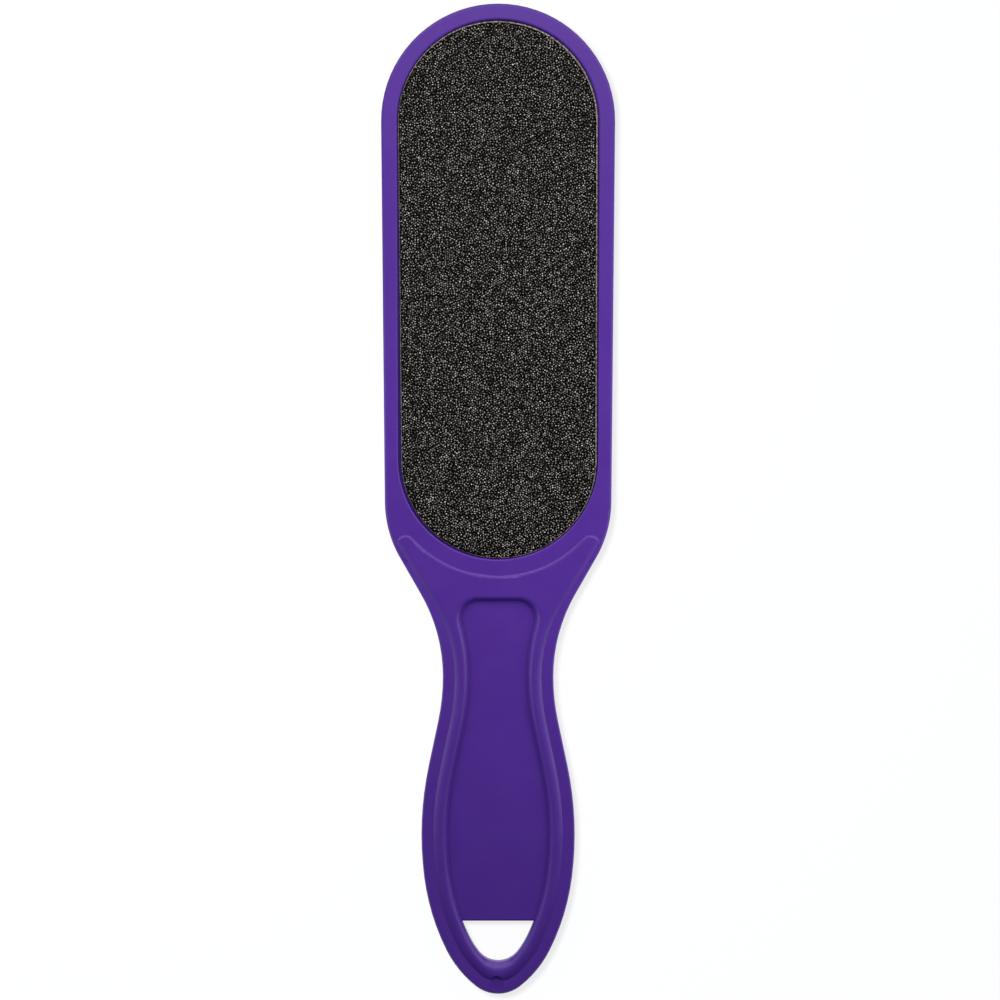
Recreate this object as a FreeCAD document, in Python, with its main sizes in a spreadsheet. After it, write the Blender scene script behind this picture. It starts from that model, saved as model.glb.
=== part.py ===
import FreeCAD, Part
import math
import os
import Sketcher

# A two-sided paddle foot file: a moulded plastic body and an abrasive pad stuck on each face.
# X runs across the file and Y along it, with the head towards +Y and the hanging end towards -Y.
# Z is up, with the coarse side on top. The origin is the middle of the outline, on the surface
# that the file lies on. Heights along the file are measured from the hanging end, and rises from
# the widest place of the grip to the neck, from the neck to the shoulder and from there to the recess.

SIZES = {
    # outline of the body, seen from above
    "overall_length": 250.0,
    "head_width": 59.1,
    "shoulder_width": 57.2,
    "shoulder_rise": 44.3,
    "neck_width": 27.9,
    "neck_rise": 39.9,
    "grip_width": 38.7,
    "grip_height": 40.2,
    "shoulder_slope_share": 1.63,
    "shoulder_radius_share": 0.407,
    "grip_slope_share": 1.56,
    "grip_radius_share": 0.61,
    "grip_low_radius_share": 2.096,
    "tip_first_turn_share": 0.081,
    "tip_second_turn_share": 0.294,
    "tip_third_turn_share": 0.578,
    "tip_radius_share": 0.336,
    # thickness of the head and of the thicker neck and handle
    "head_thickness": 7.2,
    "handle_thickness": 8.0,
    "head_edge_radius": 0.6,
    "handle_edge_radius": 1.2,
    # pad recess in the head and the step from the head up to the neck
    "rim_width": 4.05,
    "rim_low_width": 3.4,
    "rim_edge_radius": 0.5,
    "recess_depth": 1.5,
    "recess_low_rise": 10.5,
    "ledge_width": 3.8,
    "step_corner_radius": 2.8,
    "step_corner_turn_share": 0.845,
    # handle recess on each face, the web between them and the hanging hole
    "web_thickness": 5.2,
    "crest_inset": 4.7,
    "crest_run": 1.6,
    "crest_depth": 1.0,
    "crest_drop": 5.4,
    "crest_top_run": 1.0,
    "crest_corner_radius": 5.8,
    "crest_low_lift": 0.25,
    "crest_low_run": 2.1,
    "wall_run": 0.3,
    "web_edge_radius": 0.4,
    "hole_top_height": 18.4,
    "hole_low_height": 8.1,
    # groove between the lower outer band and the rounded inner bead
    "groove_inset": 3.0,
    "groove_height": 3.2,
    "groove_depth": 0.55,
    "band_drop": 0.35,
    "band_radius": 20.0,
    "groove_bead": 2.0,
    "groove_bead_radius": 3.7,
    "groove_neck_radius": 34.5,
    "groove_neck_turn_degrees": 32.0,
    "groove_run_out": 26.0,
    # mark that an ejector pin leaves on the front
    "mark_diameter": 3.9,
    "mark_height": 2.65,
    "mark_offset": 0.4,
    "mark_depth": 0.55,
    "mark_slope_run": 0.3,
    # layers of each abrasive pad
    "pad_clearance": 0.3,
    "adhesive_thickness": 0.2,
    "backing_thickness": 0.5,
    "grit_thickness": 0.5,
    # how far a cut runs past the face that it starts from
    "overrun": 1.0,
}

# Values worked out from the sizes. An upright step from one width to another is two arcs joined
# by a straight line: its slope is a share of the slope of the chord, and the arcs split the radius.
SHAPE = {
    "half_length": "sizes.overall_length / 2",
    "head_radius": "sizes.head_width / 2",
    "head_y": "sizes.overall_length / 2 - sizes.head_width / 2",
    "shoulder_half": "sizes.shoulder_width / 2",
    "neck_half": "sizes.neck_width / 2",
    "grip_half": "sizes.grip_width / 2",
    "grip_y": "sizes.grip_height - sizes.overall_length / 2",
    "neck_y": ".grip_y + sizes.neck_rise",
    "shoulder_y": ".neck_y + sizes.shoulder_rise",
    "shoulder_turn": "sizes.shoulder_slope_share"
    " * atan((.shoulder_half - .neck_half) / (.shoulder_y - .neck_y))",
    "shoulder_radii": "((.shoulder_y - .neck_y) * sin(.shoulder_turn)"
    " - (.shoulder_half - .neck_half) * cos(.shoulder_turn)) / (1 - cos(.shoulder_turn))",
    "shoulder_radius": "sizes.shoulder_radius_share * .shoulder_radii",
    "neck_upper_radius": "(1 - sizes.shoulder_radius_share) * .shoulder_radii",
    "grip_turn": "sizes.grip_slope_share * atan((.grip_half - .neck_half) / (.neck_y - .grip_y))",
    "grip_radii": "((.neck_y - .grip_y) * sin(.grip_turn)"
    " - (.grip_half - .neck_half) * cos(.grip_turn)) / (1 - cos(.grip_turn))",
    "grip_radius": "sizes.grip_radius_share * .grip_radii",
    "neck_lower_radius": "(1 - sizes.grip_radius_share) * .grip_radii",
    "first_turn": "sizes.tip_first_turn_share * 90 deg",
    "second_turn": "sizes.tip_second_turn_share * 90 deg",
    "third_turn": "sizes.tip_third_turn_share * 90 deg",
    "grip_low_radius": "sizes.grip_low_radius_share * sizes.grip_height",
    "tip_across": ".grip_half - .grip_low_radius * (1 - cos(.first_turn))",
    "tip_along": "sizes.grip_height - .grip_low_radius * sin(.first_turn)",
    "lower_across": "cos(.first_turn) - cos(.second_turn)",
    "lower_along": "sin(.second_turn) - sin(.first_turn)",
    "flank_across": "cos(.second_turn) - (1 - sizes.tip_radius_share) * cos(.third_turn)",
    "flank_along": "sizes.tip_radius_share - sin(.second_turn)"
    " + (1 - sizes.tip_radius_share) * sin(.third_turn)",
    "flank_radius": "(.lower_across * .tip_along - .lower_along * .tip_across)"
    " / (.lower_across * .flank_along - .flank_across * .lower_along)",
    "lower_radius": "(.tip_across - .flank_across * .flank_radius) / .lower_across",
    "lower_x": ".grip_half - .grip_low_radius + (.grip_low_radius - .lower_radius) * cos(.first_turn)",
    "lower_y": ".grip_y - (.grip_low_radius - .lower_radius) * sin(.first_turn)",
    "recess_radius": ".head_radius - sizes.rim_width",
    "recess_low_radius": ".shoulder_half - sizes.rim_low_width",
    "recess_low_y": ".shoulder_y + sizes.recess_low_rise",
    "corner_turn": "sizes.step_corner_turn_share * .shoulder_turn",
    "corner_x": ".shoulder_half - .shoulder_radius"
    " + (.shoulder_radius - sizes.step_corner_radius) * cos(.corner_turn)",
    "corner_y": ".shoulder_y - (.shoulder_radius - sizes.step_corner_radius) * sin(.corner_turn)",
    "step_low_y": ".recess_low_y - .recess_low_radius - sizes.ledge_width",
    "corner_rise": ".corner_y - .step_low_y + sizes.step_corner_radius",
    "step_y": ".step_low_y - sizes.step_corner_radius"
    " + (.corner_x^2 + .corner_rise^2) / (2 * .corner_rise)",
    "step_radius": ".step_y - .step_low_y",
    "tail_y": ".step_low_y - sizes.ledge_width / 2",
    "foot_inset": "sizes.crest_inset + sizes.crest_run + sizes.wall_run",
    "top_run": "sizes.crest_top_run + sizes.wall_run",
    "crest_top_y": ".step_low_y - sizes.crest_drop",
    "hole_top_y": "sizes.hole_top_height - sizes.overall_length / 2",
    "hole_half": ".lower_x + sqrt((.lower_radius - .foot_inset)^2 - (.lower_y - .hole_top_y)^2)",
    "groove_turn": "sizes.groove_neck_turn_degrees * 1 deg",
    "groove_half": ".neck_half - sizes.groove_inset",
    "head_half": "sizes.head_thickness / 2",
    "handle_half": "sizes.handle_thickness / 2",
    "web_half": "sizes.web_thickness / 2",
}
ANGLES = (
    "shoulder_turn", "grip_turn", "first_turn", "second_turn", "third_turn", "corner_turn", "groove_turn",
)

# The crest of the handle recess is a quarter of an ellipse: how far inwards each of its outlines lies,
# as a share of its run.
CREST_RUN_SHARES = (0, 0.25, 0.5, 0.72, 0.9)

UPRIGHT = FreeCAD.Vector(0, 0, 1)
NEAR = 1e-4

doc = FreeCAD.newDocument("foot_file")


def make_sheet():
    """The spreadsheet of driving sizes."""
    sheet = doc.addObject("Spreadsheet::Sheet", "sizes")
    for row, (name, size) in enumerate(SIZES.items(), start=1):
        sheet.set(f"A{row}", name)
        sheet.set(f"B{row}", str(size))
        sheet.setAlias(f"B{row}", name)
    doc.recompute()
    return sheet


def make_shape_values():
    """The set of values worked out from the sheet."""
    values = doc.addObject("App::VarSet", "shape")
    for name, formula in SHAPE.items():
        kind = "App::PropertyAngle" if name in ANGLES else "App::PropertyFloat"
        values.addProperty(kind, name, "Worked out")
        values.setExpression(name, formula)
        doc.recompute()
    return values


sizes = make_sheet()
shape = make_shape_values()


def number(text):
    """The plain number that a formula stands for at these sizes."""
    result = sizes.evalExpression(text)
    return getattr(result, "Value", result)


def at(centre, radius, degrees):
    """The point of a circle at an angle from +X."""
    turn = math.radians(degrees)
    return FreeCAD.Vector(centre.x + radius * math.cos(turn), centre.y + radius * math.sin(turn), 0)


def towards(centre, radius, target):
    """The point of a circle in the direction of another point."""
    return centre + (target - centre).normalize() * radius


class Stretch:
    """One straight or round stretch of a line that is walked in one direction."""

    def __init__(self, name, first, last, centre=None, clockwise=True):
        self.name = name
        self.first = first
        self.last = last
        self.centre = centre
        self.clockwise = clockwise

    def back(self):
        return Stretch(self.name, self.last, self.first, self.centre, not self.clockwise)

    def geometry(self):
        if self.centre is None:
            return Part.LineSegment(self.first, self.last)
        ends = [math.atan2(p.y - self.centre.y, p.x - self.centre.x) for p in (self.first, self.last)]
        start, stop = reversed(ends) if self.clockwise else ends
        if stop < start:
            stop += 2 * math.pi
        circle = Part.Circle(self.centre, UPRIGHT, (self.first - self.centre).Length)
        return Part.ArcOfCircle(circle, start, stop)

    def ends(self):
        """Numbers that its drawing gives to the first and last point."""
        backwards = self.centre is not None and self.clockwise
        return (2, 1) if backwards else (1, 2)


class Drawing:
    """A flat outline on a plane of its own body, with sizes bound to formulas."""

    def __init__(self, body, name, plane="XY_Plane", level=None):
        self.sketch = body.newObject("Sketcher::SketchObject", name)
        support = next(f for f in body.Origin.OriginFeatures if f.Role == plane)
        self.sketch.AttachmentSupport = [(support, "")]
        self.sketch.MapMode = "FlatFace"
        if level is not None:
            self.sketch.setExpression("AttachmentOffset.Base.z", level)
        self.numbers = {}
        self.walked = {}

    def add(self, stretch):
        self.numbers[stretch.name] = self.sketch.addGeometry(stretch.geometry(), False)
        self.walked[stretch.name] = stretch

    def end(self, name, which):
        """The numbers of a stretch and of its first or last point or centre."""
        if which == "centre":
            return self.numbers[name], 3
        return self.numbers[name], self.walked[name].ends()[0 if which == "first" else 1]

    def rule(self, kind, *parts):
        return self.sketch.addConstraint(Sketcher.Constraint(kind, *parts))

    def join(self, one, other, kind="Tangent"):
        self.rule(kind, *self.end(one, "last"), *self.end(other, "first"))

    def walk(self, stretches):
        for stretch in stretches:
            self.add(stretch)
        for one, other in zip(stretches, stretches[1:]):
            self.join(one.name, other.name)

    def ring(self, names):
        """Joins stretches end to end, the last to the first, with corners between them."""
        for one, other in zip(names, names[1:] + names[:1]):
            self.join(one, other, "Coincident")

    def bound(self, kind, *parts):
        """A size whose last part is its formula."""
        *where, formula = parts
        size = number(formula)
        index = self.rule(kind, *where, math.radians(size) if kind == "Angle" else size)
        self.sketch.setExpression(f"Constraints[{index}]", formula)

    def across(self, name, which, formula):
        self.bound("DistanceX", *self.end(name, which), formula)

    def along(self, name, which, formula):
        self.bound("DistanceY", *self.end(name, which), formula)

    def radius(self, name, formula):
        self.bound("Radius", self.numbers[name], formula)

    def on_axis(self, name, which):
        self.rule("PointOnObject", *self.end(name, which), -2)

    def close(self, first, last):
        """Closes a half outline with a straight line along the middle of the file."""
        start = self.walked[last].last
        stop = self.walked[first].first
        self.add(Stretch("middle", start, stop))
        self.join(last, "middle", "Coincident")
        self.join("middle", first, "Coincident")


def outline_centres():
    """Circle centres of the outline."""
    lower = FreeCAD.Vector(shape.lower_x, shape.lower_y, 0)
    return {
        "head": FreeCAD.Vector(0, shape.head_y, 0),
        "shoulder": FreeCAD.Vector(shape.shoulder_half - shape.shoulder_radius, shape.shoulder_y, 0),
        "neck_upper": FreeCAD.Vector(shape.neck_half + shape.neck_upper_radius, shape.neck_y, 0),
        "neck_lower": FreeCAD.Vector(shape.neck_half + shape.neck_lower_radius, shape.neck_y, 0),
        "grip": FreeCAD.Vector(shape.grip_half - shape.grip_radius, shape.grip_y, 0),
        "grip_low": FreeCAD.Vector(shape.grip_half - shape.grip_low_radius, shape.grip_y, 0),
        "lower": lower,
        "flank": at(lower, shape.lower_radius - shape.flank_radius, -shape.second_turn.Value),
    }


CENTRES = outline_centres()


def handle_walk(inset, rise):
    """Stretches from the neck to the hanging end, some way inside the outline.

    The last one meets the middle of the file at a height of rise above the hanging end.
    """
    neck = FreeCAD.Vector(shape.neck_half - inset, shape.neck_y, 0)
    neck_top = at(CENTRES["neck_upper"], shape.neck_upper_radius + inset, 180 - shape.shoulder_turn.Value)
    neck_end = at(CENTRES["neck_lower"], shape.neck_lower_radius + inset, 180 + shape.grip_turn.Value)
    grip_start = at(CENTRES["grip"], shape.grip_radius - inset, shape.grip_turn.Value)
    widest = FreeCAD.Vector(shape.grip_half - inset, shape.grip_y, 0)
    grip_end = at(CENTRES["grip_low"], shape.grip_low_radius - inset, -shape.first_turn.Value)
    lower_end = at(CENTRES["lower"], shape.lower_radius - inset, -shape.second_turn.Value)
    flank = CENTRES["flank"]
    flank_radius = shape.flank_radius - inset
    bottom = FreeCAD.Vector(0, rise - shape.half_length, 0)
    drop = flank.y - bottom.y
    tip_radius = (flank.x**2 + drop**2 - flank_radius**2) / (2 * (drop - flank_radius))
    tip = FreeCAD.Vector(0, bottom.y + tip_radius, 0)
    smaller, larger = (tip, flank) if tip_radius < flank_radius else (flank, tip)
    flank_end = flank + (smaller - larger).normalize() * flank_radius
    return [
        Stretch("neck_upper", neck_top, neck, CENTRES["neck_upper"], clockwise=False),
        Stretch("neck_lower", neck, neck_end, CENTRES["neck_lower"], clockwise=False),
        Stretch("grip_flank", neck_end, grip_start),
        Stretch("grip", grip_start, widest, CENTRES["grip"]),
        Stretch("grip_low", widest, grip_end, CENTRES["grip_low"]),
        Stretch("lower", grip_end, lower_end, CENTRES["lower"]),
        Stretch("flank", lower_end, flank_end, flank),
        Stretch("tip", flank_end, bottom, tip),
    ]


def size_handle_walk(drawing, inset, rise, low_end="last"):
    """Binds the stretches of handle_walk below the neck, where inset and rise are formulas.

    low_end tells which end of a stretch lies nearer to the hanging end.
    """
    drawing.radius("neck_lower", f"shape.neck_lower_radius + {inset}")
    drawing.across("grip", "centre", "shape.grip_half - shape.grip_radius")
    drawing.along("grip", "centre", "shape.grip_y")
    drawing.radius("grip", f"shape.grip_radius - {inset}")
    drawing.along("grip", low_end, "shape.grip_y")
    drawing.radius("grip_low", f"shape.grip_low_radius - {inset}")
    drawing.bound("Angle", drawing.numbers["grip_low"], "shape.first_turn")
    drawing.radius("lower", f"shape.lower_radius - {inset}")
    drawing.bound("Angle", drawing.numbers["lower"], "shape.second_turn - shape.first_turn")
    drawing.radius("flank", f"shape.flank_radius - {inset}")
    drawing.on_axis("tip", "centre")
    drawing.on_axis("tip", low_end)
    drawing.along("tip", low_end, f"{rise} - shape.half_length")


def size_neck(drawing, inset):
    """Binds the narrowest place of the neck and the arc above it."""
    drawing.across("neck_upper", "last", f"shape.neck_half - {inset}")
    drawing.along("neck_upper", "last", "shape.neck_y")
    drawing.along("neck_upper", "centre", "shape.neck_y")
    drawing.radius("neck_upper", f"shape.neck_upper_radius + {inset}")


def shoulder_end():
    return at(CENTRES["shoulder"], shape.shoulder_radius, -shape.shoulder_turn.Value)


def size_shoulder(drawing):
    drawing.across("shoulder", "centre", "shape.shoulder_half - shape.shoulder_radius")
    drawing.along("shoulder", "centre", "shape.shoulder_y")
    drawing.radius("shoulder", "shape.shoulder_radius")


def pad_feature(body, name, drawing, length):
    """A plate, up from the level of its drawing."""
    pad = body.newObject("PartDesign::Pad", name)
    pad.Profile = drawing.sketch
    pad.setExpression("Length", length)
    doc.recompute()
    return pad


def pocket_feature(body, name, drawing, depth):
    """A straight pocket, down from the level of its drawing."""
    return cut_feature(body, "PartDesign::Pocket", name, formulas={"Length": depth}, Profile=drawing.sketch)


def cut_feature(body, kind, name, formulas=None, **settings):
    """A cutting feature, with a test that it took material away."""
    before = body.Shape.Volume
    feature = body.newObject(kind, name)
    for key, setting in settings.items():
        setattr(feature, key, setting)
    for key, formula in (formulas or {}).items():
        feature.setExpression(key, formula)
    doc.recompute()
    if not body.Shape.Volume < before - NEAR:
        raise ValueError(f"{name} cuts nothing")
    return feature


def round_edges(body, name, base, wanted, radius):
    """Rounds the edges of a feature that a test picks."""
    picked = [f"Edge{i}" for i, edge in enumerate(base.Shape.Edges, start=1) if wanted(edge)]
    if not picked:
        raise ValueError(f"{name} finds no edge")
    fillet = body.newObject("PartDesign::Fillet", name)
    fillet.Base = (base, picked)
    fillet.setExpression("Radius", radius)
    doc.recompute()
    return fillet


def middle_of(edge):
    return edge.valueAt((edge.FirstParameter + edge.LastParameter) / 2)


def level_at(height):
    """A test for edges that lie flat at a height and off the middle of the file."""

    def wanted(edge):
        levels = [vertex.Z for vertex in edge.Vertexes] + [middle_of(edge).z]
        return all(abs(level - height) < NEAR for level in levels) and middle_of(edge).x > NEAR

    return wanted


def slot(drawing, inset):
    """A pad outline: two round ends and the straight sides that touch both."""
    top = FreeCAD.Vector(0, shape.head_y, 0)
    low = FreeCAD.Vector(0, shape.recess_low_y, 0)
    top_radius = number(f"shape.recess_radius - {inset}")
    low_radius = number(f"shape.recess_low_radius - {inset}")
    lean = math.degrees(math.asin((low_radius - top_radius) / (top.y - low.y)))
    right_top, left_top = at(top, top_radius, lean), at(top, top_radius, 180 - lean)
    right_low, left_low = at(low, low_radius, lean), at(low, low_radius, 180 - lean)
    drawing.walk([
        Stretch("top", left_top, right_top, top),
        Stretch("right", right_top, right_low),
        Stretch("low", right_low, left_low, low),
        Stretch("left", left_low, left_top),
    ])
    drawing.join("left", "top")
    for name, y, radius in (("top", "head_y", "recess_radius"), ("low", "recess_low_y", "recess_low_radius")):
        drawing.on_axis(name, "centre")
        drawing.along(name, "centre", f"shape.{y}")
        drawing.radius(name, f"shape.{radius} - {inset}")


def make_quarter_head():
    """Upper right quarter of the head plate, with half of the front recess."""
    body = doc.addObject("PartDesign::Body", "quarter_head")
    drawing = Drawing(body, "head_outline")
    head, shoulder = CENTRES["head"], CENTRES["shoulder"]
    gap = head - shoulder
    lean = math.degrees(
        math.atan2(gap.y, gap.x) - math.acos((shape.shoulder_radius - shape.head_radius) / gap.Length)
    )
    top = FreeCAD.Vector(0, shape.half_length, 0)
    tail = FreeCAD.Vector(0, shape.tail_y, 0)
    end = shoulder_end()
    tail_radius = (end.x**2 + (end.y - tail.y) ** 2) / (2 * (end.y - tail.y))
    drawing.walk([
        Stretch("head", top, at(head, shape.head_radius, lean), head),
        Stretch("taper", at(head, shape.head_radius, lean), at(shoulder, shape.shoulder_radius, lean)),
        Stretch("shoulder", at(shoulder, shape.shoulder_radius, lean), end, shoulder),
    ])
    drawing.add(Stretch("tail", end, tail, FreeCAD.Vector(0, tail.y + tail_radius, 0)))
    drawing.join("shoulder", "tail", "Coincident")
    drawing.on_axis("head", "first")
    drawing.on_axis("head", "centre")
    drawing.along("head", "centre", "shape.head_y")
    drawing.radius("head", "shape.head_radius")
    size_shoulder(drawing)
    drawing.along("shoulder", "last", "shape.shoulder_y - shape.shoulder_radius * sin(shape.shoulder_turn)")
    drawing.on_axis("tail", "centre")
    drawing.on_axis("tail", "last")
    drawing.along("tail", "last", "shape.tail_y")
    drawing.close("head", "tail")
    pad_feature(body, "head_plate", drawing, "shape.head_half")
    recess = Drawing(body, "recess_outline", level="shape.head_half")
    slot(recess, "0")
    pocket = pocket_feature(body, "recess", recess, "sizes.recess_depth")
    flat = level_at(shape.head_half)
    inner_reach = SIZES["rim_edge_radius"] + NEAR
    inner = round_edges(
        body, "rim_edge", pocket,
        lambda edge: flat(edge) and from_recess(middle_of(edge)) < NEAR,
        "sizes.rim_edge_radius",
    )
    round_edges(
        body, "head_edge", inner,
        lambda edge: flat(edge) and from_recess(middle_of(edge)) > inner_reach and middle_of(edge).y > end.y,
        "sizes.head_edge_radius",
    )
    return body


def from_recess(point):
    """How far a point lies outside the outline of the pad recess."""
    length = shape.head_y - shape.recess_low_y
    spread = (shape.recess_low_radius - shape.recess_radius) / length
    slope = math.sqrt(1 - spread**2)
    x, y = abs(point.x), point.y - shape.recess_low_y
    along = slope * y - spread * x
    if along < 0:
        return math.hypot(x, y) - shape.recess_low_radius
    if along > slope * length:
        return math.hypot(x, y - length) - shape.recess_radius
    return slope * x + spread * y - shape.recess_low_radius


def recess_walk(inset, top, corner_radius, rise):
    """One side of the handle recess: its straight top, its corner and the way down to its lowest point."""
    neck = CENTRES["neck_upper"]
    corner_y = top - corner_radius
    reach = shape.neck_upper_radius + inset + corner_radius
    corner = FreeCAD.Vector(neck.x - math.sqrt(reach**2 - (corner_y - neck.y) ** 2), corner_y, 0)
    corner_end = towards(corner, corner_radius, neck)
    walk = handle_walk(inset, rise)
    walk[0].first = corner_end
    edge_end = FreeCAD.Vector(corner.x, top, 0)
    return [
        Stretch("edge", FreeCAD.Vector(0, top, 0), edge_end),
        Stretch("corner", edge_end, corner_end, corner),
    ] + walk


def draw_recess(body, name, level, inset, top, corner_radius, rise):
    """Half of a handle recess outline, with all its sizes given as formulas."""
    drawing = Drawing(body, name, level=level)
    drawing.walk(recess_walk(number(inset), number(top), number(corner_radius), number(rise)))
    drawing.on_axis("edge", "first")
    drawing.along("edge", "first", top)
    drawing.rule("Horizontal", drawing.numbers["edge"])
    drawing.radius("corner", corner_radius)
    size_neck(drawing, inset)
    size_handle_walk(drawing, inset, rise)
    drawing.close("edge", "tip")
    return drawing


def draw_handle(body):
    """Half of the outline of the thicker neck and handle, with its curved upper edge."""
    drawing = Drawing(body, "handle_outline")
    step = FreeCAD.Vector(0, shape.step_y, 0)
    shoulder = CENTRES["shoulder"]
    corner = FreeCAD.Vector(shape.corner_x, shape.corner_y, 0)
    step_low = FreeCAD.Vector(0, shape.step_low_y, 0)
    step_end = towards(step, shape.step_radius, corner)
    corner_end = towards(shoulder, shape.shoulder_radius, corner)
    below = handle_walk(0, 0)
    drawing.walk([
        Stretch("step", step_low, step_end, step, clockwise=False),
        Stretch("corner", step_end, corner_end, corner),
        Stretch("shoulder", corner_end, shoulder_end(), shoulder),
        Stretch("shoulder_flank", shoulder_end(), below[0].first),
    ] + below)
    drawing.on_axis("step", "first")
    drawing.on_axis("step", "centre")
    drawing.along("step", "centre", "shape.step_y")
    drawing.radius("step", "shape.step_radius")
    drawing.radius("corner", "sizes.step_corner_radius")
    size_shoulder(drawing)
    size_neck(drawing, "0")
    size_handle_walk(drawing, "0", "0")
    drawing.close("step", "tip")
    return drawing


def draw_hole(body):
    """Half of the hanging hole, below the straight edge of the web."""
    drawing = Drawing(body, "hole_outline", level="shape.web_half")
    whole_walk = handle_walk(shape.foot_inset, SIZES["hole_low_height"])
    walk = [stretch for stretch in whole_walk if stretch.name in ("lower", "flank", "tip")]
    corner = FreeCAD.Vector(shape.hole_half, shape.hole_top_y, 0)
    walk[0].first = corner
    drawing.walk(walk)
    drawing.add(Stretch("edge", FreeCAD.Vector(0, shape.hole_top_y, 0), corner))
    drawing.join("edge", "lower", "Coincident")
    drawing.on_axis("edge", "first")
    drawing.along("edge", "first", "shape.hole_top_y")
    drawing.rule("Horizontal", drawing.numbers["edge"])
    drawing.across("lower", "centre", "shape.lower_x")
    drawing.along("lower", "centre", "shape.lower_y")
    drawing.radius("lower", "shape.lower_radius - shape.foot_inset")
    flank_drop = "(shape.lower_radius - shape.foot_inset) * sin(shape.second_turn)"
    drawing.along("lower", "last", f"shape.lower_y - {flank_drop}")
    drawing.radius("flank", "shape.flank_radius - shape.foot_inset")
    drawing.on_axis("tip", "centre")
    drawing.on_axis("tip", "last")
    drawing.along("tip", "last", "sizes.hole_low_height - shape.half_length")
    drawing.close("edge", "tip")
    return drawing


def draw_web_edge(body):
    """What the rounding of the web's straight edge takes away, seen along the edge."""
    drawing = Drawing(body, "web_edge_section", plane="YZ_Plane")
    radius = SIZES["web_edge_radius"]
    low = FreeCAD.Vector(shape.hole_top_y, shape.web_half - radius, 0)
    high = FreeCAD.Vector(shape.hole_top_y + radius, shape.web_half, 0)
    centre = FreeCAD.Vector(high.x, low.y, 0)
    above = FreeCAD.Vector(0, SIZES["overrun"], 0)
    outer_top = FreeCAD.Vector(low.x, high.y, 0) + above
    drawing.add(Stretch("round", low, high, centre))
    drawing.add(Stretch("inner", high, high + above))
    drawing.add(Stretch("top", high + above, outer_top))
    drawing.add(Stretch("outer", outer_top, low))
    drawing.ring(["round", "inner", "top", "outer"])
    drawing.rule("Vertical", drawing.numbers["inner"])
    drawing.rule("Horizontal", drawing.numbers["top"])
    drawing.rule("Vertical", drawing.numbers["outer"])
    drawing.across("round", "centre", "shape.hole_top_y + sizes.web_edge_radius")
    drawing.along("round", "centre", "shape.web_half - sizes.web_edge_radius")
    drawing.along("round", "first", "shape.web_half - sizes.web_edge_radius")
    drawing.across("round", "last", "shape.hole_top_y + sizes.web_edge_radius")
    drawing.radius("round", "sizes.web_edge_radius")
    drawing.along("top", "first", "shape.web_half + sizes.overrun")
    return drawing


def draw_groove_path(body):
    """The middle of the groove, walked from the hanging end up to where it runs out at the shoulder."""
    drawing = Drawing(body, "groove_path")
    inset = SIZES["groove_inset"]
    walk = [stretch.back() for stretch in reversed(handle_walk(inset, SIZES["groove_height"])[1:])]
    turn = shape.groove_turn.Value
    radius = SIZES["groove_neck_radius"]
    centre = FreeCAD.Vector(shape.groove_half + radius, shape.neck_y, 0)
    bend_end = at(centre, radius, 180 - turn)
    run_end = bend_end + at(FreeCAD.Vector(), SIZES["groove_run_out"], 90 - turn)
    drawing.walk(walk + [
        Stretch("neck_bend", walk[-1].last, bend_end, centre),
        Stretch("run_out", bend_end, run_end),
    ])
    size_handle_walk(drawing, "sizes.groove_inset", "sizes.groove_height", low_end="first")
    drawing.across("neck_bend", "first", "shape.groove_half")
    drawing.along("neck_bend", "first", "shape.neck_y")
    drawing.along("neck_bend", "centre", "shape.neck_y")
    drawing.radius("neck_bend", "sizes.groove_neck_radius")
    drawing.bound("Angle", drawing.numbers["neck_bend"], "shape.groove_turn")
    drawing.bound("Distance", drawing.numbers["run_out"], "sizes.groove_run_out")
    return drawing


def crown_centre(left, right, radius):
    """The centre of an arc that bulges upwards from one point to another on its right."""
    chord = right - left
    down = FreeCAD.Vector(chord.y, -chord.x, 0).normalize()
    return (left + right) / 2 + down * math.sqrt(radius**2 - chord.Length**2 / 4)


def draw_groove_section(body):
    """The groove's section at the hanging end: the low outer band and the rounded outer side of the bead."""
    drawing = Drawing(body, "groove_section", plane="YZ_Plane")
    surface = shape.handle_half
    valley = FreeCAD.Vector(SIZES["groove_height"] - shape.half_length, surface - SIZES["groove_depth"], 0)
    edge = FreeCAD.Vector(-shape.half_length - SIZES["overrun"], surface - SIZES["band_drop"], 0)
    bead = FreeCAD.Vector(valley.x + SIZES["groove_bead"], surface, 0)
    above = FreeCAD.Vector(0, SIZES["overrun"], 0)
    edge_top = FreeCAD.Vector(edge.x, surface, 0) + above
    band_centre = crown_centre(edge, valley, SIZES["band_radius"])
    bead_centre = crown_centre(valley, bead, SIZES["groove_bead_radius"])
    drawing.add(Stretch("band", valley, edge, band_centre, clockwise=False))
    drawing.add(Stretch("outer", edge, edge_top))
    drawing.add(Stretch("top", edge_top, bead + above))
    drawing.add(Stretch("inner", bead + above, bead))
    drawing.add(Stretch("bead", bead, valley, bead_centre, clockwise=False))
    drawing.ring(["band", "outer", "top", "inner", "bead"])
    drawing.rule("Vertical", drawing.numbers["outer"])
    drawing.rule("Horizontal", drawing.numbers["top"])
    drawing.rule("Vertical", drawing.numbers["inner"])
    valley_formula = "sizes.groove_height - shape.half_length"
    drawing.across("band", "first", valley_formula)
    drawing.along("band", "first", "shape.handle_half - sizes.groove_depth")
    drawing.across("band", "last", "-shape.half_length - sizes.overrun")
    drawing.along("band", "last", "shape.handle_half - sizes.band_drop")
    drawing.across("bead", "first", f"{valley_formula} + sizes.groove_bead")
    drawing.along("bead", "first", "shape.handle_half")
    drawing.along("top", "first", "shape.handle_half + sizes.overrun")
    drawing.radius("band", "sizes.band_radius")
    drawing.radius("bead", "sizes.groove_bead_radius")
    return drawing


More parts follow.
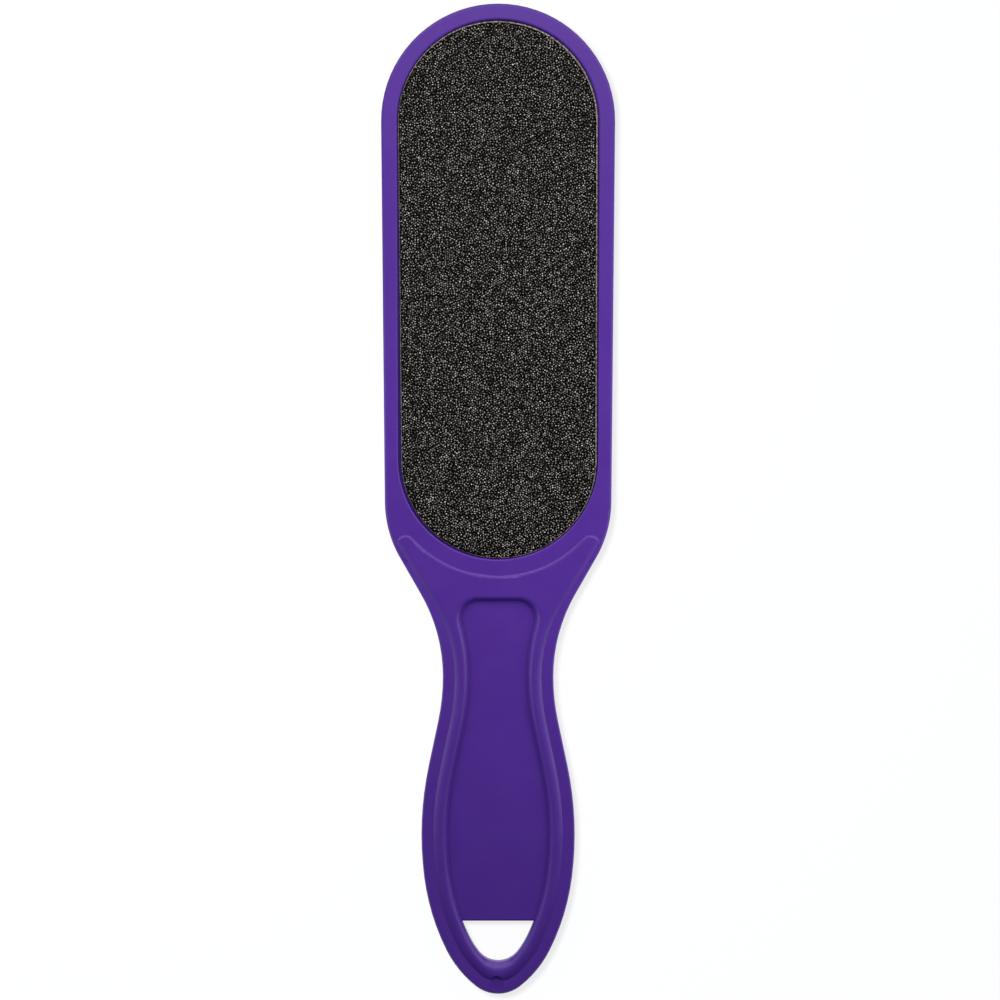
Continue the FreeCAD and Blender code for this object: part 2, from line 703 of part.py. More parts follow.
def make_quarter_handle():
    """Upper right quarter of the neck and handle, with its recess, groove and hanging hole."""
    body = doc.addObject("PartDesign::Body", "quarter_handle")
    outline = draw_handle(body)
    slab = pad_feature(body, "handle_slab", outline, "shape.handle_half")
    flat = level_at(shape.handle_half)
    round_edges(body, "handle_edge", slab, flat, "sizes.handle_edge_radius")
    walls = []
    for place, share in enumerate(CREST_RUN_SHARES):
        depth = f"sizes.crest_depth * (1 - sqrt(1 - {share}^2))"
        top_run = f"{share} * sizes.crest_top_run"
        low_run = f"sizes.crest_low_lift + {share} * sizes.crest_low_run"
        walls.append(draw_recess(
            body, f"crest_outline_{place}", f"shape.handle_half - {depth}",
            f"(sizes.crest_inset + {share} * sizes.crest_run)", f"shape.crest_top_y - {top_run}",
            f"sizes.crest_corner_radius - {top_run}", f"(sizes.crest_inset + {low_run})",
        ))
    walls.append(draw_recess(
        body, "foot_outline", "shape.web_half", "shape.foot_inset", "shape.crest_top_y - shape.top_run",
        "sizes.crest_corner_radius - shape.top_run", "sizes.hole_low_height",
    ))
    cut_feature(
        body, "PartDesign::SubtractiveLoft", "handle_recess",
        Profile=walls[0].sketch, Sections=[wall.sketch for wall in walls[1:]], Ruled=True,
    )
    pocket_feature(body, "hanging_hole", draw_hole(body), "shape.web_half + sizes.overrun")
    cut_feature(
        body, "PartDesign::Pocket", "web_edge", formulas={"Length": "shape.hole_half"},
        Profile=draw_web_edge(body).sketch, Reversed=True,
    )
    path = draw_groove_path(body)
    section = draw_groove_section(body)
    cut_feature(
        body, "PartDesign::SubtractivePipe", "groove", Profile=section.sketch, Spine=path.sketch,
    )
    return body


def mirrored(source, name, normal):
    """The mirror image of a solid in a plane through the origin."""
    image = doc.addObject("Part::Mirroring", name)
    image.Source = source
    image.Normal = normal
    return image


def fused(name, shapes):
    whole = doc.addObject("Part::MultiFuse", name)
    whole.Shapes = shapes
    whole.Refine = True
    doc.recompute()
    return whole


def lift(part_object, formula="shape.handle_half"):
    """Sets a sub-part on the surface that the file lies on."""
    part_object.setExpression("Placement.Base.z", formula)


def make_body():
    """The moulded body: four equal quarters, less the mark of an ejector pin on the front."""
    quarter = fused("quarter", [make_quarter_head(), make_quarter_handle()])
    half = fused("upper_half", [quarter, mirrored(quarter, "left_quarter", FreeCAD.Vector(1, 0, 0))])
    whole = fused("moulding", [half, mirrored(half, "lower_half", FreeCAD.Vector(0, 0, 1))])
    mark = doc.addObject("Part::Cone", "ejector_mark")
    mark.setExpression("Radius1", "sizes.mark_diameter / 2 - sizes.mark_slope_run")
    slope = "sizes.mark_slope_run / sizes.mark_depth"
    mark.setExpression("Radius2", f"sizes.mark_diameter / 2 + {slope} * sizes.overrun")
    mark.setExpression("Height", "sizes.mark_depth + sizes.overrun")
    mark.setExpression("Placement.Base.x", "-sizes.mark_offset")
    mark.setExpression("Placement.Base.y", "sizes.mark_height - shape.half_length")
    mark.setExpression("Placement.Base.z", "shape.handle_half - sizes.mark_depth")
    body = doc.addObject("Part::Cut", "marked_body")
    body.Base = whole
    body.Tool = mark
    body.Label = "body"
    lift(body)
    return body


def make_layer(label, thickness, bottom):
    """One layer of an abrasive pad, lying inside the recess with a gap all round."""
    body = doc.addObject("PartDesign::Body", f"{label}_body")
    drawing = Drawing(body, f"{label}_outline")
    slot(drawing, "sizes.pad_clearance")
    pad_feature(body, f"{label}_sheet", drawing, thickness)
    body.Label = label
    lift(body, bottom)
    return body


def make_pads():
    """The layers of both pads, from the floor of each recess outwards."""
    layers = []
    for side, sign in (("front", 1), ("back", -1)):
        below = "shape.head_half - sizes.recess_depth"
        for layer in ("adhesive", "backing", "grit"):
            thickness = f"sizes.{layer}_thickness"
            above = f"{below} + {thickness}"
            bottom = below if sign > 0 else f"-({above})"
            layers.append(make_layer(f"{side}_{layer}", thickness, f"shape.handle_half + {bottom}"))
            below = above
    return layers


def check_document():
    """Stops at the first object that failed."""
    for made in doc.Objects:
        if "Invalid" in made.State or "Error" in made.State:
            raise ValueError(f"{made.Name} failed: {made.State}")


def write(pieces):
    os.makedirs("parts", exist_ok=True)
    for piece in pieces:
        if piece.Shape.isNull() or not piece.Shape.isValid() or len(piece.Shape.Solids) != 1:
            raise ValueError(f"{piece.Label} is not one valid solid")
    for piece in pieces:
        piece.Shape.exportStep(f"parts/{piece.Label}.step")
        print(piece.Label, round(piece.Shape.Volume, 1), "mm3")


pieces = [make_body()] + make_pads()
doc.recompute()
check_document()
write(pieces)
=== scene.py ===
import math

import bmesh
import bpy
import numpy as np
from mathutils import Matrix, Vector


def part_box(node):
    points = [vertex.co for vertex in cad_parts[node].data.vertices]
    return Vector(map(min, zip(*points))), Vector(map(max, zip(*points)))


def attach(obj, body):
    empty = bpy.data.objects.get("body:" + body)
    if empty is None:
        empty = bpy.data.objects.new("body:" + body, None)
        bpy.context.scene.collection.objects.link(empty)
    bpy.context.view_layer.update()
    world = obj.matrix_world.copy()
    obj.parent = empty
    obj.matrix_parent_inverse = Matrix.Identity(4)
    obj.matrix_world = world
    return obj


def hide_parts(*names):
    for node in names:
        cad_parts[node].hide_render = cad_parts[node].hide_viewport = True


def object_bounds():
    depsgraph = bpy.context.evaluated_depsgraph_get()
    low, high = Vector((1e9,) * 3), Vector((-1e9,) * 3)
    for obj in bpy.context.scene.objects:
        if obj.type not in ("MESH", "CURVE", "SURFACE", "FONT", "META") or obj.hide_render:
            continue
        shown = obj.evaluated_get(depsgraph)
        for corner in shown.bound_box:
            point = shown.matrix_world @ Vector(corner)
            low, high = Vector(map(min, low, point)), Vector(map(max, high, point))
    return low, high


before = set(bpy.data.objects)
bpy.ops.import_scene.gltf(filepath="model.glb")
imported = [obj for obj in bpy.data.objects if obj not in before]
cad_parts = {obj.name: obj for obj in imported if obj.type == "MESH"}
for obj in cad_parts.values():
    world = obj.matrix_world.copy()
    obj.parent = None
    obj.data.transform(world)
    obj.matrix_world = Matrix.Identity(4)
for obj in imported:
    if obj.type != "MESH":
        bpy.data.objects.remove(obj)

# A two-sided foot file, seen straight from above with its coarse side up. Lengths are in metres.
MM = 0.001
CAD_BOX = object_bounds()
BODY = "root"

# The photograph: its side, the rows of the file's two ends and the column of its middle, in pixels.
PHOTO_SIDE = 1000
FILE_TOP_ROW = 3.9
FILE_LOW_ROW = 993.5
FILE_MIDDLE_COLUMN = 498.1

# The camera, and how far below the top of the file its outline shows.
CAMERA_LENS = 200.0
CAMERA_SENSOR = 36.0
CAMERA_REACH = 10.0
OUTLINE_DROP = 2.0 * MM

# The pads: their lower radius, the paper edge that grains leave bare, and how the front one lies.
PAD_LOW_RADIUS = 24.65 * MM
GRIT_EDGE = 0.26 * MM
GRIT_SHIFT = Vector((-0.1, -0.1)) * MM
PAPER_TURN_DEGREES = 0.20
PAPER_SHIFT = Vector((0.1, 0.0)) * MM
LAYER_ROUND_SHARE = 0.2
LAYER_ROUND_STEPS = 2

# Grain lattice of each side: spacing of its points, and heights above the paper.
COARSE_SPACING = 0.34 * MM
COARSE_PEAKS = (0.34 * MM, 0.66 * MM)
COARSE_VALLEYS = (0.03 * MM, 0.26 * MM)
COARSE_SEED = 11
FINE_SPACING = 0.30 * MM
FINE_HEIGHTS = (0.22 * MM, 0.50 * MM)
FINE_SEED = 23

# How far a lattice point strays, as a share of the spacing, and the margin round the outline.
JITTER = 0.36
SPARE_ROWS = 4
SPARE_COLUMNS = 6
ROWS_BELOW = 1.5

# Moving the border of the grains onto the outline: the step that finds its slope, and the rounds.
PROBE = 1e-6
PULL_ROUNDS = 3

# Shades of the chips between the grains and of the facets at their tips, as pairs of place and
# share of the full colour, and the range of nearness to a tip over which its cap fades in. The palest
# tip facets are painted glints: near-white colour that stands in for highlights.
CHIP_SHADES = ((0.0, 0.02), (0.50, 0.12), (1.0, 1.0))
GLINT_CAP_SHADES = ((0.0, 0.012), (0.35, 0.03), (0.65, 0.17), (1.0, 1.0))
GLINT_CAP_EDGE = (0.345, 0.505)
GRAIN_SHADE_SPREAD = 0.15
BORDER_SHADE = 0.4

# The full colours of chips and of the painted glints at the tips on each side, and the number of
# chips to the metre.
COARSE_CHIP = (0.015, 0.015, 0.0145)
COARSE_TIP_GLINT = (0.98, 0.98, 0.945)
COARSE_CHIPS = 5000.0
FINE_CHIP = (0.050, 0.047, 0.045)
FINE_TIP_GLINT = (0.60, 0.58, 0.56)
FINE_CHIPS = 6000.0

# The darker and the paler shade of each of the other materials.
PLASTIC_SHADES = ((0.074, 0.0190, 0.322), (0.082, 0.0215, 0.352))
PAPER_SHADES = ((0.08, 0.075, 0.07), (0.52, 0.50, 0.48))
GLUE_SHADES = ((0.30, 0.27, 0.20), (0.40, 0.37, 0.29))

# The range in which most of a noise lies, and a narrower one for strong contrast.
NOISE_RANGE = (0.3, 0.7)
FIBRE_RANGE = (0.38, 0.62)

# Sockets of the Mix node when it mixes colours.
MIX_SHARE = 0
MIX_FIRST = 6
MIX_SECOND = 7
MIX_RESULT = 2

FLOOR_SIZE = 3.0
FLOOR_GAP = 0.02 * MM
FLOOR_GREY = 0.32
FLOOR_GLOW = 0.79

# Colours and strengths of the light, and the two points that the lamps aim at.
WHITE = (1.0, 1.0, 1.0)
WARM = (1.0, 0.87, 0.80)
PALE_WARM = (1.0, 0.92, 0.88)
SKY = (0.72, 0.89, 1.0)
SKY_STRENGTH = 0.14
MIDDLE = (0.0, 0.0, 0.0)
NECK = (0.0, -0.03, 0.0)


class PadOutline:
    """The outline that a pad node shares with its layers, drawn in by an inset."""

    def __init__(self, node, inset=0.0):
        low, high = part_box(node)
        self.bottom = low.z
        self.top = high.z
        self.top_radius = (high.x - low.x) / 2 - inset
        self.low_radius = PAD_LOW_RADIUS - inset
        self.top_y = high.y - inset - self.top_radius
        self.low_y = low.y + inset + self.low_radius
        self.lean = math.asin((self.top_radius - self.low_radius) / (self.top_y - self.low_y))

    def distance(self, x, y):
        """How far points lie outside the outline, negative inside."""
        side = np.abs(x)
        rise = y - self.low_y
        length = self.top_y - self.low_y
        slope, run = math.sin(self.lean), math.cos(self.lean)
        along = rise * run + side * slope
        straight = side * run - rise * slope - self.low_radius
        low_end = np.hypot(side, rise) - self.low_radius
        top_end = np.hypot(side, rise - length) - self.top_radius
        return np.where(along < 0, low_end, np.where(along > length * run, top_end, straight))

    def points(self, step_degrees=2.0):
        """Points round the outline, from the top round end to the low one and back."""
        found = []
        lean = math.degrees(self.lean)
        for radius, y, first, last in (
            (self.top_radius, self.top_y, -lean, 180 + lean),
            (self.low_radius, self.low_y, 180 + lean, 360 - lean),
        ):
            for degrees in np.linspace(first, last, round((last - first) / step_degrees) + 1):
                turn = math.radians(degrees)
                found.append((radius * math.cos(turn), y + radius * math.sin(turn)))
        return found


def place_askew(mesh):
    """Turns and shifts a layer a little inside its recess, as a pad that was stuck on by hand."""
    turn = math.radians(PAPER_TURN_DEGREES)
    count = len(mesh.vertices)
    places = np.empty(count * 3)
    mesh.vertices.foreach_get("co", places)
    places = places.reshape(count, 3)
    x, y = places[:, 0].copy(), places[:, 1].copy()
    low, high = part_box("front_backing")
    pivot = (low.y + high.y) / 2
    places[:, 0] = x * math.cos(turn) - (y - pivot) * math.sin(turn) + PAPER_SHIFT.x
    places[:, 1] = pivot + x * math.sin(turn) + (y - pivot) * math.cos(turn) + PAPER_SHIFT.y
    mesh.vertices.foreach_set("co", places.ravel())
    mesh.update()


def link(name, mesh):
    """Puts a mesh into the scene as an object."""
    piece = bpy.data.objects.new(name, mesh)
    bpy.context.scene.collection.objects.link(piece)
    return piece


def add_piece(name, mesh, material, node):
    """Puts a piece that rides on the body into the scene, in place of its CAD node."""
    mesh.materials.append(material)
    piece = link(name, mesh)
    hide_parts(node)
    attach(piece, BODY)


def make_layer(name, node, material, askew):
    """A thin die-cut sheet with softened edges that stands for a layer of a pad."""
    outline = PadOutline(node)
    thickness = outline.top - outline.bottom
    made = bmesh.new()
    ring = [made.verts.new((x, y, outline.bottom)) for x, y in outline.points()[:-1]]
    face = made.faces.new(ring)
    risen = bmesh.ops.extrude_face_region(made, geom=[face])["geom"]
    for vertex in risen:
        if isinstance(vertex, bmesh.types.BMVert):
            vertex.co.z = outline.top
    bmesh.ops.recalc_face_normals(made, faces=made.faces)
    rims = [e for e in made.edges if abs(e.verts[0].co.z - e.verts[1].co.z) < thickness / 2]
    width = thickness * LAYER_ROUND_SHARE
    bmesh.ops.bevel(made, geom=rims, offset=width, segments=LAYER_ROUND_STEPS, affect="EDGES")
    mesh = bpy.data.meshes.new(name)
    made.to_mesh(mesh)
    made.free()
    if askew:
        place_askew(mesh)
    add_piece(name, mesh, material, node)


def lattice(outline, spacing, random):
    """Jittered points of a triangular lattice over the outline, and its triangles."""
    row_step = spacing * math.sqrt(3) / 2
    tall = outline.top_y + outline.top_radius - outline.low_y + outline.low_radius
    wide = 2 * max(outline.top_radius, outline.low_radius)
    rows = math.ceil(tall / row_step) + SPARE_ROWS
    columns = math.ceil(wide / spacing) + SPARE_COLUMNS
    row, column = np.mgrid[0:rows, 0:columns]
    x = (column + 0.5 * (row % 2) - columns / 2) * spacing
    y = outline.low_y - outline.low_radius + (row - ROWS_BELOW) * row_step
    turn = random.uniform(0, 2 * math.pi, x.shape)
    reach = spacing * JITTER * np.sqrt(random.uniform(0, 1, x.shape))
    x = x + reach * np.cos(turn)
    y = y + reach * np.sin(turn)
    index = row * columns + column
    even = index[:-1, :-1][row[:-1, :-1] % 2 == 0]
    odd = index[:-1, :-1][row[:-1, :-1] % 2 == 1]
    triangles = np.concatenate([
        np.stack([even, even + 1, even + columns], 1),
        np.stack([even + 1, even + columns + 1, even + columns], 1),
        np.stack([odd, odd + columns + 1, odd + columns], 1),
        np.stack([odd, odd + 1, odd + columns + 1], 1),
    ])
    x, y = x.ravel(), y.ravel()
    middle_x, middle_y = x[triangles].mean(1), y[triangles].mean(1)
    return x, y, triangles[outline.distance(middle_x, middle_y) < 0]


def pick_tips(count, triangles, random):
    """Picks points at random as the tips of grains, no two of them next to each other."""
    around = [[] for _ in range(count)]
    for triangle in triangles.tolist():
        for point in triangle:
            around[point].extend(triangle)
    taken = np.zeros(count, bool)
    tips = np.zeros(count, bool)
    for point in random.permutation(count):
        if not taken[point] and around[point]:
            tips[point] = True
            taken[around[point]] = True
    return tips


def edge_keys(triangles):
    """Each triangle's three edges, as directed pairs and as numbers without direction."""
    pairs = np.stack([triangles, np.roll(triangles, -1, 1)], 2)
    low, high = pairs.min(2), pairs.max(2)
    return pairs, low * (triangles.max() + 1) + high


def without_ears(triangles):
    """Drops triangles that hang on by one edge, until the border is one clean line."""
    while True:
        keys = edge_keys(triangles)[1]
        place, count = np.unique(keys.ravel(), return_inverse=True, return_counts=True)[1:]
        open_edges = (count[place].reshape(-1, 3) == 1).sum(1)
        if not (open_edges > 1).any():
            return triangles
        triangles = triangles[open_edges < 2]


def border(triangles):
    """The points of the border in order, anticlockwise."""
    pairs, keys = edge_keys(triangles)
    first, count = np.unique(keys.ravel(), return_index=True, return_counts=True)[1:]
    following = dict(pairs.reshape(-1, 2)[first[count == 1]].tolist())
    start = next(iter(following))
    line = [start]
    while following[line[-1]] != start:
        line.append(following[line[-1]])
    return line


def pull_to_outline(outline, x, y, line):
    """Moves the border points onto the outline."""
    for _ in range(PULL_ROUNDS):
        away = outline.distance(x[line], y[line])
        slope_x = (outline.distance(x[line] + PROBE, y[line]) - away) / PROBE
        slope_y = (outline.distance(x[line], y[line] + PROBE) - away) / PROBE
        x[line] -= slope_x * away
        y[line] -= slope_y * away


def grit_faces(place, triangles, line):
    """The faces of a coat of grains: its top, its sides round the border and its flat bottom."""
    ring = place[np.array(line)]
    lower = place.max() + 1 + np.arange(len(line))
    sides = np.stack([ring, lower, np.roll(lower, -1), np.roll(ring, -1)], 1)
    return place[triangles].tolist() + sides.tolist() + [lower[::-1].tolist()]


def make_grit(name, node, material, spacing, peaks, valleys, seed, upwards, askew):
    """A coat of broken mineral grains, with points at their tips and points between them."""
    random = np.random.RandomState(seed)
    outline = PadOutline(node, GRIT_EDGE)
    x, y, triangles = lattice(outline, spacing, random)
    tips = pick_tips(x.size, triangles, random)
    triangles = without_ears(triangles)
    line = border(triangles)
    pull_to_outline(outline, x, y, line)
    height = np.where(
        tips,
        random.uniform(peaks[0], peaks[1], x.shape),
        random.uniform(valleys[0], valleys[1], x.shape),
    )
    height[line] = random.uniform(valleys[0], valleys[1], len(line))
    # Random shade per facet; at the grain tips it picks which facets get painted glints.
    grain = random.uniform(-GRAIN_SHADE_SPREAD, GRAIN_SHADE_SPREAD, x.shape)
    owner = triangles[np.arange(len(triangles)), tips[triangles].argmax(1)]
    shade = np.clip(grain[owner] + random.uniform(0, 1, len(owner)), 0, 1)
    used = np.unique(triangles)
    place = np.full(x.shape, -1)
    place[used] = np.arange(len(used))
    faces = grit_faces(place, triangles, line)
    top = np.stack([x[used], y[used], height[used]], 1)
    low = np.stack([x[line], y[line], np.zeros(len(line))], 1)
    points = np.concatenate([top, low])
    if askew:
        points[:, :2] += GRIT_SHIFT
    if upwards:
        points[:, 2] += outline.bottom
    else:
        points[:, 2] = outline.top - points[:, 2]
        faces = [face[::-1] for face in faces]
    mesh = bpy.data.meshes.new(name)
    mesh.from_pydata(points.tolist(), [], faces)
    mesh.update()
    shades = mesh.attributes.new("shade", "FLOAT", "FACE")
    shades.data.foreach_set("value", np.concatenate([shade, np.full(len(line) + 1, BORDER_SHADE)]))
    tips[line] = False
    tipness = mesh.attributes.new("tip", "FLOAT", "POINT")
    tipness.data.foreach_set("value", np.concatenate([tips[used], np.zeros(len(line))]))
    if askew:
        place_askew(mesh)
    add_piece(name, mesh, material, node)


class Nodes:
    """A material's node tree, with short calls for adding and joining nodes."""

    def __init__(self, name):
        self.material = bpy.data.materials.new(name)
        self.material.use_nodes = True
        self.tree = self.material.node_tree
        self.tree.nodes.clear()
        self.shader = self.add("ShaderNodeBsdfPrincipled")
        self.output = self.add("ShaderNodeOutputMaterial")
        self.join(self.shader, "BSDF", self.output, "Surface")
        self.place = self.add("ShaderNodeTexCoord")

    def add(self, kind, **settings):
        """Adds a node and sets its options."""
        node = self.tree.nodes.new(kind)
        for key, setting in settings.items():
            setattr(node, key, setting)
        return node

    def join(self, source, output, target, socket):
        """Leads an output of one node to a socket of another."""
        self.tree.links.new(source.outputs[output], target.inputs[socket])

    def noise(self, scale, detail, roughness=0.5):
        """Cloudy noise over the object, with features about 1 / scale metres wide."""
        node = self.add("ShaderNodeTexNoise")
        node.inputs["Scale"].default_value = scale
        node.inputs["Detail"].default_value = detail
        node.inputs["Roughness"].default_value = roughness
        self.join(self.place, "Object", node, "Vector")
        return node

    def span(self, source, output, low, high, over=(0.0, 1.0)):
        """Maps a value from one range to another."""
        node = self.add("ShaderNodeMapRange")
        node.inputs["From Min"].default_value = over[0]
        node.inputs["From Max"].default_value = over[1]
        node.inputs["To Min"].default_value = low
        node.inputs["To Max"].default_value = high
        self.join(source, output, node, "Value")
        return node

    def ramp(self, source, output, stops):
        """Colours along a value: pairs of place and colour, from the lowest place up."""
        node = self.add("ShaderNodeValToRGB")
        ramp = node.color_ramp
        half_way = 0.5
        while len(ramp.elements) < len(stops):
            ramp.elements.new(half_way)
        for element, (place, colour) in zip(ramp.elements, stops):
            element.position = place
            element.color = (*colour, 1.0)
        self.join(source, output, node, "Fac")
        return node

    def shares(self, source, output, shades, full):
        """Shares of one colour along a value: pairs of place and share."""
        stops = [(place, [share * part for part in full]) for place, share in shades]
        return self.ramp(source, output, stops)

    def bump(self, source, output, strength, distance, under=None):
        """Relief from a value, on top of another relief if one is given."""
        node = self.add("ShaderNodeBump")
        node.inputs["Strength"].default_value = strength
        node.inputs["Distance"].default_value = distance
        self.join(source, output, node, "Height")
        if under:
            self.join(under, "Normal", node, "Normal")
        return node


def plastic_material():
    """Purple moulded plastic with a satin skin, faint clouding and the fine grain of the mould."""
    nodes = Nodes("purple_plastic")
    clouds = nodes.noise(scale=28.0, detail=3.0)
    colour = nodes.ramp(clouds, "Fac", list(zip(NOISE_RANGE, PLASTIC_SHADES)))
    nodes.join(colour, "Color", nodes.shader, "Base Color")
    sheen = nodes.noise(scale=160.0, detail=4.0)
    roughness = nodes.span(sheen, "Fac", low=0.39, high=0.48, over=NOISE_RANGE)
    nodes.join(roughness, "Result", nodes.shader, "Roughness")
    skin = nodes.noise(scale=3200.0, detail=3.0, roughness=0.6)
    waves = nodes.noise(scale=110.0, detail=2.0)
    flow = nodes.bump(waves, "Fac", strength=0.25, distance=0.12 * MM)
    grain = nodes.bump(skin, "Fac", strength=0.22, distance=0.012 * MM, under=flow)
    nodes.join(grain, "Normal", nodes.shader, "Normal")
    nodes.shader.inputs["Specular IOR Level"].default_value = 0.45
    return nodes.material


def grit_material(name, chip_colour, tip_glint_colour, scale):
    """Dark mineral grains in resin, with painted glints: some facets at the broken tips are painted
    near-white as highlights, the others dull.
    """
    nodes = Nodes(name)
    chips = nodes.add("ShaderNodeTexVoronoi", distance="EUCLIDEAN")
    chips.inputs["Scale"].default_value = scale
    nodes.join(nodes.place, "Object", chips, "Vector")
    lot = nodes.add("ShaderNodeSeparateColor")
    nodes.join(chips, "Color", lot, "Color")
    base = nodes.shares(lot, "Red", CHIP_SHADES, chip_colour)
    # Painted glints: random facets near each grain tip get a near-white colour in place of
    # highlights.
    shade = nodes.add("ShaderNodeAttribute", attribute_name="shade")
    glint_cap = nodes.shares(shade, "Fac", GLINT_CAP_SHADES, tip_glint_colour)
    tip = nodes.add("ShaderNodeAttribute", attribute_name="tip")
    reach = nodes.span(tip, "Fac", low=0.0, high=1.0, over=GLINT_CAP_EDGE)
    mix = nodes.add("ShaderNodeMix", data_type="RGBA")
    nodes.join(reach, "Result", mix, MIX_SHARE)
    nodes.join(base, "Color", mix, MIX_FIRST)
    nodes.join(glint_cap, "Color", mix, MIX_SECOND)
    nodes.join(mix, MIX_RESULT, nodes.shader, "Base Color")
    specks = nodes.noise(scale, detail=2.0)
    roughness = nodes.span(specks, "Fac", low=0.22, high=0.60, over=NOISE_RANGE)
    nodes.join(roughness, "Result", nodes.shader, "Roughness")
    facets = nodes.bump(chips, "Distance", strength=0.5, distance=0.08 * MM)
    nodes.join(facets, "Normal", nodes.shader, "Normal")
    gloss = nodes.span(reach, "Result", low=0.03, high=0.90)
    nodes.join(gloss, "Result", nodes.shader, "Specular IOR Level")
    return nodes.material


def paper_material():
    """Pale coated paper with fibres in its cut edge."""
    nodes = Nodes("backing_paper")
    fibres = nodes.noise(scale=1600.0, detail=4.0, roughness=0.6)
    colour = nodes.ramp(fibres, "Fac", list(zip(FIBRE_RANGE, PAPER_SHADES)))
    nodes.join(colour, "Color", nodes.shader, "Base Color")
    roughness = nodes.span(fibres, "Fac", low=0.75, high=0.95)
    nodes.join(roughness, "Result", nodes.shader, "Roughness")
    rough = nodes.bump(fibres, "Fac", strength=0.4, distance=0.05 * MM)
    nodes.join(rough, "Normal", nodes.shader, "Normal")
    return nodes.material


def adhesive_material():
    """Pale film of glue under each pad."""
    nodes = Nodes("adhesive_film")
    clouds = nodes.noise(scale=700.0, detail=3.0)
    colour = nodes.ramp(clouds, "Fac", list(zip(NOISE_RANGE, GLUE_SHADES)))
    nodes.join(colour, "Color", nodes.shader, "Base Color")
    roughness = nodes.span(clouds, "Fac", low=0.25, high=0.45)
    nodes.join(roughness, "Result", nodes.shader, "Roughness")
    return nodes.material


def floor_material():
    """White floor that shows as white to the camera and still takes the file's shadow."""
    nodes = Nodes("white_floor")
    nodes.shader.inputs["Base Color"].default_value = (FLOOR_GREY, FLOOR_GREY, FLOOR_GREY, 1.0)
    nodes.shader.inputs["Roughness"].default_value = 1.0
    nodes.shader.inputs["Specular IOR Level"].default_value = 0.0
    path = nodes.add("ShaderNodeLightPath")
    seen = nodes.add("ShaderNodeMath", operation="MAXIMUM")
    nodes.join(path, "Is Camera Ray", seen, 0)
    nodes.join(path, "Is Glossy Ray", seen, 1)
    through = nodes.add("ShaderNodeMath", operation="MAXIMUM")
    nodes.join(seen, "Value", through, 0)
    nodes.join(path, "Is Transmission Ray", through, 1)
    lift = nodes.span(through, "Value", low=0.0, high=FLOOR_GLOW)
    nodes.shader.inputs["Emission Color"].default_value = (*WHITE, 1.0)
    nodes.join(lift, "Result", nodes.shader, "Emission Strength")
    return nodes.material


def make_floor():
    """A wide flat floor just under the file."""
    half = FLOOR_SIZE / 2
    level = CAD_BOX[0].z - FLOOR_GAP
    mesh = bpy.data.meshes.new("floor")
    corners = [(-half, -half, level), (half, -half, level), (half, half, level), (-half, half, level)]
    mesh.from_pydata(corners, [], [(0, 1, 2, 3)])
    mesh.materials.append(floor_material())
    floor = link("floor", mesh)
    return floor


def make_world():
    """Even soft light from all round, and white where the camera looks past the floor."""
    world = bpy.data.worlds.new("studio")
    bpy.context.scene.world = world
    world.use_nodes = True
    tree = world.node_tree
    tree.nodes.clear()
    output = tree.nodes.new("ShaderNodeOutputWorld")
    soft = tree.nodes.new("ShaderNodeBackground")
    soft.inputs["Color"].default_value = (*SKY, 1.0)
    soft.inputs["Strength"].default_value = SKY_STRENGTH
    white = tree.nodes.new("ShaderNodeBackground")
    white.inputs["Color"].default_value = (*WHITE, 1.0)
    white.inputs["Strength"].default_value = 1.0
    path = tree.nodes.new("ShaderNodeLightPath")
    mix = tree.nodes.new("ShaderNodeMixShader")
    tree.links.new(path.outputs["Is Camera Ray"], mix.inputs["Fac"])
    tree.links.new(soft.outputs["Background"], mix.inputs[1])
    tree.links.new(white.outputs["Background"], mix.inputs[2])
    tree.links.new(mix.outputs["Shader"], output.inputs["Surface"])


def light_group(name, piece, state):
    """A group by which a lamp lights this piece alone or leaves it out."""
    group = bpy.data.collections.new(name)
    group.objects.link(piece)
    for member in group.collection_objects:
        member.light_linking.link_state = state
    return group


def make_lamp(name, place, aim, size, share, colour, lit):
    """A flat soft lamp that gives a share of full light to a level surface at its aim."""
    place, aim = Vector(place), Vector(aim)
    ray = aim - place
    slant = abs(ray.normalized().z)
    data = bpy.data.lights.new(name, "AREA")
    data.shape = "RECTANGLE"
    data.size, data.size_y = size
    data.color = colour
    data.energy = share * math.pi**2 * ray.length**2 / slant
    lamp = bpy.data.objects.new(name, data)
    lamp.light_linking.receiver_collection = lit
    lamp.location = place
    lamp.rotation_euler = ray.to_track_quat("-Z", "Y").to_euler()
    bpy.context.scene.collection.objects.link(lamp)


def make_lamps(floor):
    """A key over the head and a low lamp on each side for the file, and one for the floor alone."""
    off_floor = light_group("off_floor", floor, "EXCLUDE")
    on_floor = light_group("on_floor", floor, "INCLUDE")
    make_lamp(
        "key", place=(0.03, 0.22, 0.20), aim=MIDDLE, size=(0.80, 0.16),
        share=0.95, colour=WARM, lit=off_floor,
    )
    make_lamp(
        "left_side", place=(-0.13, -0.01, 0.08), aim=NECK, size=(0.15, 0.09),
        share=0.22, colour=PALE_WARM, lit=off_floor,
    )
    make_lamp(
        "right_side", place=(0.13, -0.01, 0.08), aim=NECK, size=(0.15, 0.09),
        share=0.24, colour=PALE_WARM, lit=off_floor,
    )
    make_lamp(
        "floor_light", place=(-0.18, 0.14, 1.10), aim=MIDDLE, size=(0.20, 0.20),
        share=0.57, colour=WHITE, lit=on_floor,
    )


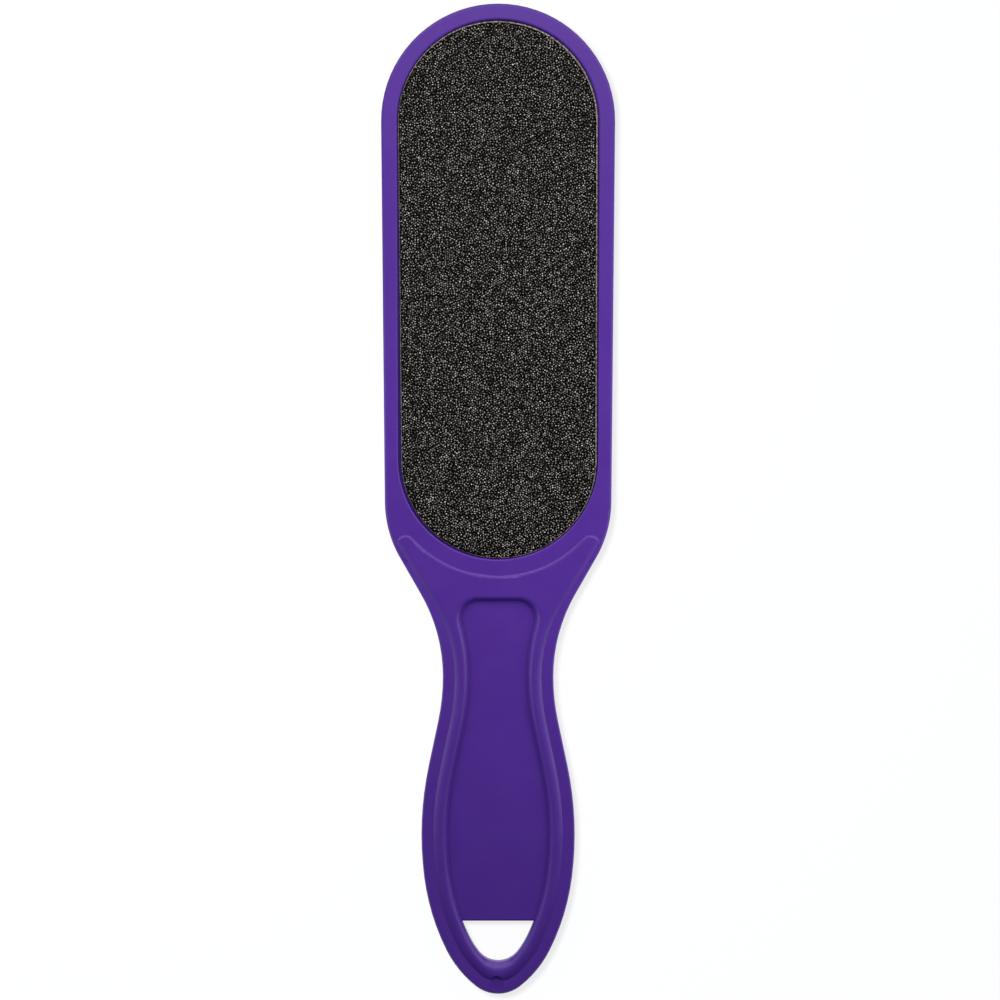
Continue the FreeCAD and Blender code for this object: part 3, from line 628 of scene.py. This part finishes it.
def make_camera():
    """A long lens straight above, with the file's ends on their rows of the photograph.

    The ends are seen at the upper edge of the outline, a little below the top of the file.
    """
    length = CAD_BOX[1].y - CAD_BOX[0].y
    pixel = length / (FILE_LOW_ROW - FILE_TOP_ROW)
    data = bpy.data.cameras.new("camera")
    data.lens = CAMERA_LENS
    data.sensor_width = CAMERA_SENSOR
    data.clip_end = CAMERA_REACH
    camera = bpy.data.objects.new("camera", data)
    distance = PHOTO_SIDE * pixel * CAMERA_LENS / CAMERA_SENSOR
    middle_row = (FILE_TOP_ROW + FILE_LOW_ROW) / 2
    camera.location = (
        (PHOTO_SIDE / 2 - FILE_MIDDLE_COLUMN) * pixel,
        (CAD_BOX[0].y + CAD_BOX[1].y) / 2 + (middle_row - PHOTO_SIDE / 2) * pixel,
        CAD_BOX[1].z - OUTLINE_DROP + distance,
    )
    bpy.context.scene.collection.objects.link(camera)
    bpy.context.scene.camera = camera


def dress_body(material):
    """The moulded body keeps its shape and gets the plastic."""
    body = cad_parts["body"]
    body.data.materials.clear()
    body.data.materials.append(material)


def make_pads():
    """The layers of the coarse pad in front and of the fine pad on the back."""
    paper = paper_material()
    glue = adhesive_material()
    coarse = grit_material("coarse_grains", COARSE_CHIP, COARSE_TIP_GLINT, COARSE_CHIPS)
    fine = grit_material("fine_grains", FINE_CHIP, FINE_TIP_GLINT, FINE_CHIPS)
    for side, askew in (("front", True), ("back", False)):
        make_layer(f"{side}_glue_film", f"{side}_adhesive", glue, askew)
        make_layer(f"{side}_paper", f"{side}_backing", paper, askew)
    make_grit(
        "front_grains", "front_grit", coarse, COARSE_SPACING,
        COARSE_PEAKS, COARSE_VALLEYS, COARSE_SEED, upwards=True, askew=True,
    )
    make_grit(
        "back_grains", "back_grit", fine, FINE_SPACING,
        FINE_HEIGHTS, FINE_HEIGHTS, FINE_SEED, upwards=False, askew=False,
    )


make_camera()
dress_body(plastic_material())
make_pads()
floor = make_floor()
make_world()
make_lamps(floor)

bpy.context.scene.view_settings.view_transform = "Standard"
bpy.context.view_layer.update()
